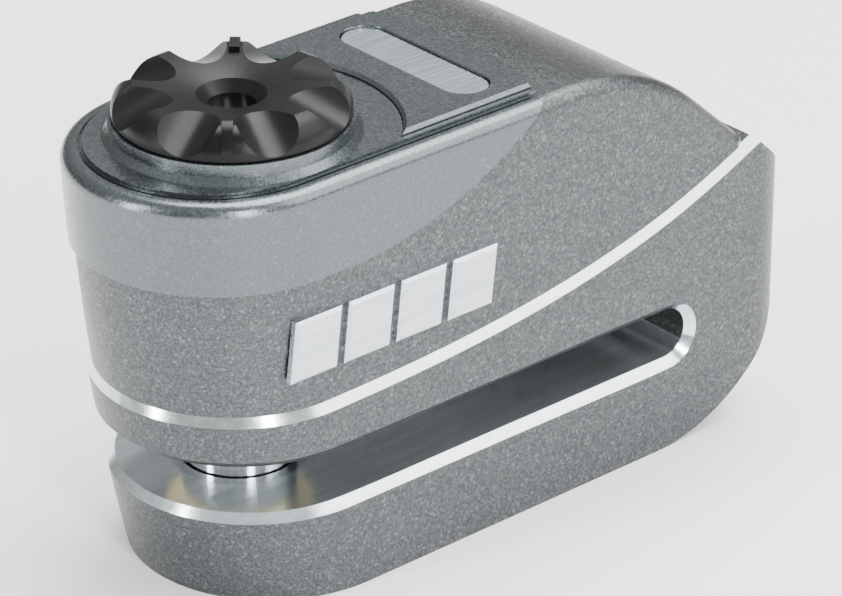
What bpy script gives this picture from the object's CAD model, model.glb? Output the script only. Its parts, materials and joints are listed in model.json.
"""Looks, light and camera for the disc brake lock. Metres throughout."""

import json
from math import cos, radians, sin

import bpy
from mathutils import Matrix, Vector


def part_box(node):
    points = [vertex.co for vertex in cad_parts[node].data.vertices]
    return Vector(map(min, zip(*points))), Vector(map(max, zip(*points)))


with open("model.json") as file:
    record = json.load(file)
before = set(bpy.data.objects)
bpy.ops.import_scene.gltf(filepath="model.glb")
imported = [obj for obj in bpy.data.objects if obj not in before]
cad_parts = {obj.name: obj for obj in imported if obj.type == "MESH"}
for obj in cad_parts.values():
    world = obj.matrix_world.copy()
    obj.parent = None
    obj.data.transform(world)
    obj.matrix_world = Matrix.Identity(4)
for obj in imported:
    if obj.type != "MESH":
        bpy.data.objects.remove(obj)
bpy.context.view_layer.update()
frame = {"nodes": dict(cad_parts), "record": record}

MM = 0.001
BOLT_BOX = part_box("locking_bolt")
BODY_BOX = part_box("body_casting")
BOLT_X = (BOLT_BOX[0][0] + BOLT_BOX[1][0]) / 2

# the camera looks down on the nose and the -Y side from the front left
CAMERA_AZIMUTH, CAMERA_ELEVATION = radians(-41.225), radians(27.481)
CAMERA_DISTANCE = 518.5 * MM
CAMERA_TARGET = Vector((BOLT_X + 6.1 * MM, -26.5 * MM, 41.46 * MM))
CAMERA_LENS, SENSOR_WIDTH = 192.48, 36.0

# the polished shoulder bevel: distance behind the bolt's axis against height, and how far it rises
SHOULDER = [(-30, 25.2), (5, 25.4), (35, 27.8), (58, 33.4), (69.5, 38.2), (84, 45.0)]
SHOULDER_RISE = 1.5 * MM
SHOULDER_TILT = (0.27, 0.62)  # upward part of the direction its faces look in
SHOULDER_SLACK = (0.4 * MM, 0.3 * MM)  # allowed under and over the bevel
CURVE_TOP = 60.0  # height in millimetres that the shoulder line is drawn against
SLOT_LOW, SLOT_HIGH = 11.35 * MM, 19.6 * MM
SLOT_END_X = 58.5 * MM
SLOT_END_REACH = (6 * MM, 3 * MM)  # before and behind the end of the slot
SLOT_END_TILT = (0.3, 0.9)  # sideways part of the direction its bevel looks in
FLOOR_GLOW = 0.12


# ---------------------------------------------------------------- node helpers
class Shader:
    """A material with its Principled node, and short ways to add nodes to it."""

    def __init__(self, name):
        self.material = bpy.data.materials.new(name)
        self.material.use_nodes = True
        self.tree = self.material.node_tree
        self.surface = self.tree.nodes["Principled BSDF"]
        self.place = self.add("ShaderNodeTexCoord").outputs["Object"]

    def add(self, kind, **settings):
        node = self.tree.nodes.new(kind)
        for key, value in settings.items():
            setattr(node, key, value)
        return node

    def link(self, source, target):
        self.tree.links.new(source, target)

    def put(self, socket, value):
        """Sets a socket to a number, a colour or another node's output."""
        if isinstance(value, bpy.types.NodeSocket):
            self.link(value, socket)
        else:
            socket.default_value = value

    def noise(self, scale, detail=2.0, rough=0.5, place=None):
        node = self.add("ShaderNodeTexNoise")
        self.link(place or self.place, node.inputs["Vector"])
        node.inputs["Scale"].default_value = scale
        node.inputs["Detail"].default_value = detail
        node.inputs["Roughness"].default_value = rough
        return node.outputs["Fac"]

    def cells(self, scale):
        node = self.add("ShaderNodeTexVoronoi")
        self.link(self.place, node.inputs["Vector"])
        node.inputs["Scale"].default_value = scale
        return node.outputs["Color"]

    def stretched(self, factors):
        node = self.add("ShaderNodeMapping")
        self.link(self.place, node.inputs["Vector"])
        node.inputs["Scale"].default_value = factors
        return node.outputs["Vector"]

    def ramp(self, value, stops):
        node = self.add("ShaderNodeValToRGB")
        self.link(value, node.inputs["Fac"])
        elements = node.color_ramp.elements
        while len(elements) < len(stops):
            elements.new(0.5)
        for element, (position, colour) in zip(elements, stops):
            element.position = position
            element.color = (*colour, 1) if len(colour) == 3 else colour
        return node.outputs["Color"]

    def spread(self, value, low, high, start=0.0, end=1.0):
        """Maps start..end of a value onto low..high."""
        node = self.add("ShaderNodeMapRange")
        self.link(value, node.inputs["Value"])
        for key, number in (("From Min", start), ("From Max", end), ("To Min", low), ("To Max", high)):
            node.inputs[key].default_value = number
        return node.outputs["Result"]

    def maths(self, operation, first, second=0.0):
        node = self.add("ShaderNodeMath", operation=operation)
        self.put(node.inputs[0], first)
        self.put(node.inputs[1], second)
        return node.outputs["Value"]

    def between(self, value, low, high):
        """1 where a value lies between low and high, else 0."""
        above = self.maths("GREATER_THAN", value, low)
        return self.maths("MULTIPLY", above, self.maths("LESS_THAN", value, high))

    def mix(self, factor, first, second, kind="RGBA"):
        node = self.add("ShaderNodeMix", data_type=kind)
        wanted = "VALUE" if kind == "FLOAT" else kind
        pair = ("A", "B")
        inputs = [socket for socket in node.inputs if socket.type == wanted and socket.name in pair]
        self.put(node.inputs[0], factor)
        self.put(inputs[0], first)
        self.put(inputs[1], second)
        return next(socket for socket in node.outputs if socket.type == wanted)

    def bump(self, height, distance, strength=1.0, below=None):
        node = self.add("ShaderNodeBump")
        self.link(height, node.inputs["Height"])
        self.put(node.inputs["Strength"], strength)
        node.inputs["Distance"].default_value = distance
        if below:
            self.link(below, node.inputs["Normal"])
        return node.outputs["Normal"]

    def finish(self, **values):
        """Sets the Principled inputs, named with underscores for spaces."""
        for key, value in values.items():
            self.put(self.surface.inputs[key.replace("_", " ")], value)
        return self.material


# ---------------------------------------------------------------- materials
def polished_mask(shader):
    """1 on the shoulder bevel, the slot's floor and lower bevel and its round end, 0 on the cast skin."""
    place = shader.add("ShaderNodeSeparateXYZ")
    shader.link(shader.place, place.inputs["Vector"])
    x, y, z = (place.outputs[axis] for axis in "XYZ")
    facing = shader.add("ShaderNodeSeparateXYZ")
    shader.link(shader.add("ShaderNodeNewGeometry").outputs["True Normal"], facing.inputs["Vector"])
    across, up = shader.maths("ABSOLUTE", facing.outputs["Y"]), facing.outputs["Z"]

    first, last = SHOULDER[0][0], SHOULDER[-1][0]
    along = shader.spread(x, 0, 1, BOLT_X + first * MM, BOLT_X + last * MM)
    curve = shader.add("ShaderNodeFloatCurve")
    shader.link(along, curve.inputs["Value"])
    line = curve.mapping.curves[0]
    while len(line.points) < len(SHOULDER):
        line.points.new(0.5, 0.5)
    for point, (distance, height) in zip(line.points, SHOULDER):
        point.location = ((distance - first) / (last - first), height / CURVE_TOP)
    curve.mapping.update()
    bevel_z = shader.maths("MULTIPLY", curve.outputs["Value"], CURVE_TOP * MM)
    rise = shader.maths("SUBTRACT", z, bevel_z)
    shoulder = shader.between(rise, -SHOULDER_SLACK[0], SHOULDER_RISE + SHOULDER_SLACK[1])
    shoulder = shader.maths("MULTIPLY", shoulder, shader.between(up, *SHOULDER_TILT))

    in_slot = shader.between(z, SLOT_LOW, SLOT_HIGH)
    floor = shader.maths("MULTIPLY", in_slot, shader.maths("GREATER_THAN", up, 0.5))
    round_end = shader.maths("MULTIPLY", in_slot, shader.between(across, *SLOT_END_TILT))
    end_x = BOLT_X + SLOT_END_X
    near_end = shader.between(x, end_x - SLOT_END_REACH[0], end_x + SLOT_END_REACH[1])
    round_end = shader.maths("MULTIPLY", round_end, near_end)
    return shader.maths("MAXIMUM", shoulder, shader.maths("MAXIMUM", floor, round_end))


def cast_skin(shader, grain, depth):
    """Silver metallic lacquer over a cast surface: fleck colour, roughness and grain."""
    fleck = shader.add("ShaderNodeSeparateColor")
    shader.link(shader.cells(3200), fleck.inputs["Color"])
    shade = shader.noise(grain, 3, 0.6)
    tones = [(0.3, (0.05, 0.053, 0.055)), (0.5, (0.085, 0.09, 0.093)), (0.72, (0.14, 0.148, 0.152))]
    colour = shader.ramp(shade, tones)
    spark = shader.spread(fleck.outputs["Red"], 0, 0.3, 0.86, 1.0)
    colour = shader.mix(spark, colour, (0.34, 0.36, 0.37, 1))
    cloud = shader.noise(60, 3, 0.5)
    tilt = shader.spread(fleck.outputs["Green"], 0.30, 0.42)
    rough = shader.maths("ADD", shader.spread(cloud, -0.05, 0.05), tilt)
    relief = shader.bump(shader.noise(grain, 3, 0.55), depth)
    return colour, rough, relief


def casting():
    """The body: grainy silver skin with polished bevels."""
    shader = Shader("cast_silver")
    colour, rough, relief = cast_skin(shader, 3200, 0.06 * MM)
    mask = polished_mask(shader)
    streak = shader.noise(900, 2, 0.5, shader.stretched((0.08, 1, 1)))
    bright = shader.ramp(streak, [(0.3, (0.66, 0.72, 0.74)), (0.7, (0.80, 0.86, 0.88))])
    fine = shader.bump(streak, 0.006 * MM)
    shader.finish(
        Base_Color=shader.mix(mask, colour, bright),
        Roughness=shader.mix(mask, rough, shader.spread(streak, 0.13, 0.22), "FLOAT"),
        Metallic=0.92,
        Normal=shader.mix(mask, relief, fine, "VECTOR"),
    )
    return shader.material


def smooth_cover():
    """The top cover and its lid: the same silver, finer and glossier."""
    shader = Shader("cover_silver")
    colour, rough, relief = cast_skin(shader, 3000, 0.03 * MM)
    even = shader.mix(0.6, colour, (0.12, 0.145, 0.15, 1))
    shader.finish(
        Base_Color=even,
        Roughness=shader.maths("SUBTRACT", rough, 0.08),
        Metallic=0.92,
        Normal=relief,
        Coat_Weight=0.25,
        Coat_Roughness=0.12,
    )
    return shader.material


def brushed(name, colours, rough, direction):
    """Bare metal with brush lines along one direction."""
    shader = Shader(name)
    lines = shader.noise(2600, 3, 0.6, shader.stretched(direction))
    worn = shader.spread(shader.noise(120, 2, 0.5), -0.03, 0.03)
    shader.finish(
        Base_Color=shader.ramp(lines, [(0.3, colours[0]), (0.7, colours[1])]),
        Roughness=shader.maths("ADD", shader.spread(lines, rough - 0.05, rough + 0.07), worn),
        Metallic=1.0,
        Normal=shader.bump(lines, 0.012 * MM),
    )
    return shader.material


def moulded(name, colours, rough, depth, grain=1400, shine=0.5):
    """Moulded plastic or rubber with a fine even grain."""
    shader = Shader(name)
    spots = shader.noise(grain, 3, 0.6)
    clouds = shader.noise(90, 3, 0.5)
    shader.finish(
        Base_Color=shader.ramp(clouds, [(0.35, colours[0]), (0.7, colours[1])]),
        Roughness=shader.spread(clouds, rough - 0.05, rough + 0.06, 0.3, 0.7),
        Normal=shader.bump(spots, depth),
        Specular_IOR_Level=shine,
    )
    return shader.material


def circuit_green():
    """Solder mask with faint tracks."""
    shader = Shader("circuit_green")
    tracks = shader.add("ShaderNodeTexBrick")
    shader.link(shader.place, tracks.inputs["Vector"])
    tracks.inputs["Scale"].default_value = 300
    tracks.inputs["Color1"].default_value = (0.02, 0.16, 0.06, 1)
    tracks.inputs["Color2"].default_value = (0.03, 0.20, 0.08, 1)
    tracks.inputs["Mortar"].default_value = (0.05, 0.28, 0.12, 1)
    shader.finish(
        Base_Color=tracks.outputs["Color"],
        Roughness=shader.spread(shader.noise(400), 0.3, 0.45),
        Normal=shader.bump(tracks.outputs["Fac"], 0.02 * MM),
    )
    return shader.material


def slot_materials():
    """One material for each slot in the record."""
    along_x, round_z = (0.03, 1, 1), (1, 1, 0.03)
    black = [(0.003, 0.003, 0.0032), (0.006, 0.006, 0.0065)]
    return {
        "body": casting(),
        "cover": smooth_cover(),
        "plate": brushed("plate_brushed", [(0.52, 0.57, 0.60), (0.70, 0.75, 0.78)], 0.27, along_x),
        "knob": moulded("knob_black", black, 0.36, 0.02 * MM, shine=0.2),
        "steel": brushed("steel_bright", [(0.56, 0.60, 0.63), (0.72, 0.76, 0.79)], 0.14, round_z),
        "brass": brushed("brass_turned", [(0.62, 0.45, 0.20), (0.78, 0.60, 0.30)], 0.3, along_x),
        "rubber": moulded("rubber_black", [(0.015, 0.015, 0.015), (0.03, 0.03, 0.03)], 0.75, 0.05 * MM),
        "plastic": moulded("plastic_dark", [(0.04, 0.04, 0.044), (0.07, 0.07, 0.075)], 0.5, 0.04 * MM),
        "board": circuit_green(),
        "cell": brushed("cell_wrap", [(0.20, 0.24, 0.30), (0.30, 0.34, 0.40)], 0.35, round_z),
    }


def dress_nodes():
    """Gives every CAD node its slot's material."""
    materials = slot_materials()
    slots = {part["node"]: part["material_slot"] for part in frame["record"]["subparts"]}
    for node, obj in frame["nodes"].items():
        obj.data.materials.clear()
        obj.data.materials.append(materials[slots[node]])


# ---------------------------------------------------------------- studio
def floor():
    """A wide pale floor with a faint tone."""
    bpy.ops.mesh.primitive_plane_add(size=6.0, location=(0, 0, BODY_BOX[0][2]))
    plane = bpy.context.object
    plane.name = "studio_floor"
    shader = Shader("floor_pale")
    tone = shader.noise(3, 2, 0.5)
    pale = shader.ramp(tone, [(0.2, (0.91, 0.91, 0.91)), (0.8, (0.94, 0.94, 0.94))])
    shader.finish(Base_Color=pale, Roughness=0.7, Emission_Color=(1, 1, 1, 1), Emission_Strength=FLOOR_GLOW)
    plane.data.materials.append(shader.material)


def softbox(name, azimuth, elevation, distance, size, power):
    """A rectangular light on a ring round the object, facing its middle."""
    data = bpy.data.lights.new(name, "AREA")
    data.shape = "RECTANGLE"
    data.size, data.size_y = size
    data.energy = power
    light = bpy.data.objects.new(name, data)
    bpy.context.collection.objects.link(light)
    turn, lift = radians(azimuth), radians(elevation)
    middle = Vector((0, 0, BODY_BOX[1][2] / 2))
    reach = Vector((cos(lift) * sin(turn), -cos(lift) * cos(turn), sin(lift))) * distance
    light.location = middle + reach
    light.rotation_euler = (-reach).to_track_quat("-Z", "Y").to_euler()


def studio_light():
    """Strip boxes for the nose, a wide box for the side and a large one overhead."""
    softbox("strip_left", -100, 12, 0.9, (0.10, 0.9), 9)
    softbox("strip_right", -18, 14, 0.9, (0.12, 0.9), 12)
    softbox("wide_side", 40, 30, 1.2, (0.9, 0.9), 12)
    softbox("overhead", 100, 68, 1.3, (1.2, 1.0), 42)
    world = bpy.data.worlds.new("studio")
    bpy.context.scene.world = world
    world.use_nodes = True
    nodes, links = world.node_tree.nodes, world.node_tree.links
    place = nodes.new("ShaderNodeTexCoord")
    split = nodes.new("ShaderNodeSeparateXYZ")
    ramp = nodes.new("ShaderNodeValToRGB")
    links.new(place.outputs["Generated"], split.inputs["Vector"])
    links.new(split.outputs["Z"], ramp.inputs["Fac"])
    links.new(ramp.outputs["Color"], nodes["Background"].inputs["Color"])
    ramp.color_ramp.elements[0].position = 0.0
    ramp.color_ramp.elements[0].color = (0.30, 0.27, 0.24, 1)
    ramp.color_ramp.elements[1].position = 0.7
    ramp.color_ramp.elements[1].color = (0.95, 0.97, 1.0, 1)
    nodes["Background"].inputs["Strength"].default_value = 0.75


def camera():
    """The camera that takes the picture."""
    data = bpy.data.cameras.new("camera")
    data.lens, data.sensor_width = CAMERA_LENS, SENSOR_WIDTH
    data.clip_start, data.clip_end = 0.01, 50
    view = bpy.data.objects.new("camera", data)
    bpy.context.collection.objects.link(view)
    flat = cos(CAMERA_ELEVATION)
    back = Vector((flat * sin(CAMERA_AZIMUTH), -flat * cos(CAMERA_AZIMUTH), sin(CAMERA_ELEVATION)))
    view.location = CAMERA_TARGET + back * CAMERA_DISTANCE
    view.rotation_euler = (-back).to_track_quat("-Z", "Y").to_euler()
    bpy.context.scene.camera = view


dress_nodes()
floor()
studio_light()
camera()
